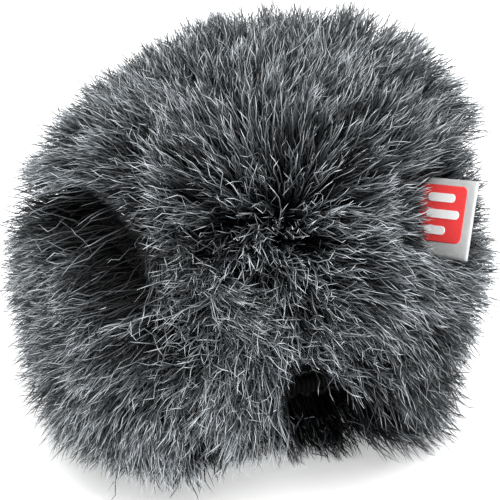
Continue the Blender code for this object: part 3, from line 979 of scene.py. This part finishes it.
def patch(name, outline, thick, lift, material):
    """A flat shape on the ribbon's front, with a rounded edge: outline is its border in (along, out)."""
    outline = evenly(np.asarray(outline), 0.0004)
    middle = outline.mean(0)
    rings = ((1.0, 0.0), (0.985, 0.7), (0.96, 1.0), (0.94, 1.0), (0.62, 1.0), (0.3, 1.0))
    points, places = [], []
    for size, height in rings:
        border = middle + (outline - middle) * size
        points.append(ribbon_point(border[:, 0], border[:, 1], -(lift + thick * height)))
        places.append(border)
    points.append(ribbon_point(middle[0], middle[1], -(lift + thick)).reshape(1, 3))
    places.append(middle[None])
    n = len(outline)
    points, places = np.concatenate(points), np.concatenate(places)
    faces = []
    for r in range(len(rings) - 1):
        for k in range(n):
            a, b = r * n + k, r * n + (k + 1) % n
            faces.append((a, b, b + n, a + n))
    top = (len(rings) - 1) * n
    faces += [(top + k, top + (k + 1) % n, len(points) - 1) for k in range(n)]
    base = len(points)
    under = ribbon_point(outline[:, 0], outline[:, 1], np.full(n, -lift + 0.00003))
    points = np.concatenate([points, under])
    places = np.concatenate([places, outline])
    faces += [(base + (k + 1) % n, k + 1 if k + 1 < n else 0, k, base + k) for k in range(n)]
    faces.append(tuple(base + k for k in range(n)))
    piece = mesh_object(name, points, faces, material)
    cloth_uv(piece, places)
    return piece


def rounded(low, high, corner):
    """A rounded rectangle's border, from its corners (along, out)."""
    points, steps = [], 8
    corners = ((high[0], high[1], 0), (low[0], high[1], 1), (low[0], low[1], 2), (high[0], low[1], 3))
    for x, y, quarter in corners:
        cx = x - corner if quarter in (0, 3) else x + corner
        cy = y - corner if quarter in (0, 1) else y + corner
        for k in range(steps + 1):
            a = math.pi / 2 * (quarter + k / steps)
            points.append((cx + corner * math.cos(a), cy + corner * math.sin(a)))
    return points


def make_label():
    """A folded ribbon sewn into the seam, with a badge of three plain bars on its front."""
    half, reach, fold, thick, rows = LABEL_HEIGHT / 2, LABEL_REACH - LABEL_TRIM, 0.00040, 0.00018, 26
    straight = np.linspace(0.0, reach - fold, rows)
    bends = np.linspace(math.pi / 2, -math.pi / 2, 9)[1:-1]
    flat, front, back = np.zeros(rows), np.ones(rows), -np.ones(rows)
    out = np.concatenate([straight, reach - fold + fold * np.cos(bends), straight[::-1]])
    lift = np.concatenate([fold * front, fold * np.sin(bends), fold * back])
    along, out = np.meshgrid(np.linspace(-half, half, 25), out, indexing="ij")
    lift = np.broadcast_to(lift, out.shape)
    inner_out = out - thick * np.concatenate([flat, np.cos(bends), flat])
    inner_lift = lift - thick * np.concatenate([front, np.sin(bends), back])
    outside, inside = ribbon_point(along, out, lift), ribbon_point(along, inner_out, inner_lift)
    tag = shell("ribbon_label", outside, inside, ribbon_material())
    run = np.concatenate([straight, np.full(len(bends), reach), 2 * reach - straight[::-1]])
    places = np.stack([along, np.broadcast_to(run, out.shape)], -1).reshape(-1, 2)
    cloth_uv(tag, np.tile(places, (2, 1)))
    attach(tag, "label")
    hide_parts("label_tab")
    red = badge_material("red_embroidery", (0.52, 0.02, 0.022), (0.90, 0.055, 0.055))
    white = badge_material("white_embroidery", (0.62, 0.62, 0.62), (0.88, 0.88, 0.88))
    square = rounded((-0.0050, 0.0018), (0.0068, 0.0136), 0.0013)
    pieces = [patch("label_badge", square, 0.00012, fold, red)]
    bars = ((0.0040, 0.0108, 0.0042), (0.0040, 0.0124, 0.0008), (0.0040, 0.0094, -0.0026))
    for i, (low, high, place) in enumerate(bars):
        bar = rounded((place - 0.0009, low), (place + 0.0009, high), 0.00088)
        pieces.append(patch(f"label_bar_{i + 1}", bar, 0.00014, fold + 0.00011, white))
    for piece in pieces:
        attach(piece, "label")


def dress_frame(materials):
    """The tapes and threads inside the seams keep their CAD shapes and get woven materials."""
    for name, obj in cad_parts.items():
        for key, material in materials.items():
            if key in name:
                for slot in obj.material_slots:
                    slot.material = material


BLACK_YARN, DARK_YARN = (0.0015, 0.0015, 0.0018), (0.012, 0.012, 0.013)
ground = knit_material("knitted_ground", BLACK_YARN, (0.0090, 0.0092, 0.0098), 260.0, 0.02, 0.04)
lining_cloth = knit_material("lining_knit", BLACK_YARN, (0.0060, 0.0060, 0.0065), 320.0, 0.0, 0.02)
tape_cloth = knit_material("seam_tape_weave", DARK_YARN, (0.05, 0.05, 0.052), 420.0)
thread_fibre = knit_material("thread_fibre", DARK_YARN, (0.06, 0.06, 0.062), 700.0)
rubber = knit_material("braided_elastic", (0.01, 0.01, 0.011), (0.05, 0.05, 0.052), 520.0)
make_ground(ground)
make_lining(lining_cloth)
make_hem(lining_cloth, rubber, thread_fibre)
make_label()
dress_frame({"tape": tape_cloth, "thread": thread_fibre})


# Stage, light and camera


def make_stage():
    m = Nodes("floor", 0.55, Base_Color=(0.90, 0.90, 0.90, 1), Emission_Color=(1, 1, 1, 1))
    m.shader.inputs["Emission Strength"].default_value = 0.20
    corners = [(-3, -3, 0), (3, -3, 0), (3, 3, 0), (-3, 3, 0)]
    mesh_object("floor", corners, [(0, 1, 2, 3)], m.material, smooth=False)


def add_light(name, place, target, power):
    data = bpy.data.lights.new(name, "AREA")
    data.shape = "DISK"
    data.size = 0.6
    data.energy = power
    obj = bpy.data.objects.new(name, data)
    obj.location = place
    obj.rotation_euler = (Vector(target) - Vector(place)).to_track_quat("-Z", "Y").to_euler()
    bpy.context.scene.collection.objects.link(obj)


def make_lights():
    world = bpy.data.worlds.new("studio")
    bpy.context.scene.world = world
    world.use_nodes = True
    background = world.node_tree.nodes["Background"]
    background.inputs["Color"].default_value = (1, 1, 1, 1)
    background.inputs["Strength"].default_value = 1.2
    target = (0, 0, 0.04)
    add_light("key", (0.25, -0.35, 0.85), target, 8.0)
    add_light("front", (-0.45, -0.85, 0.22), target, 8.0)
    add_light("back", (-0.3, 0.6, 0.75), target, 4.0)


def make_camera():
    data = bpy.data.cameras.new("camera")
    data.lens = 155.8
    data.sensor_width = 36
    camera = bpy.data.objects.new("camera", data)
    azimuth, elevation = math.radians(-15), math.radians(30)
    flat = math.cos(elevation)
    back = Vector((math.sin(azimuth) * flat, -math.cos(azimuth) * flat, math.sin(elevation)))
    camera.location = Vector(VIEW_TARGET) + back * VIEW_DISTANCE
    camera.rotation_euler = (-back).to_track_quat("-Z", "Y").to_euler()
    bpy.context.scene.collection.objects.link(camera)
    bpy.context.scene.camera = camera
    bpy.context.scene.view_settings.view_transform = "Standard"


make_stage()
make_lights()
make_camera()
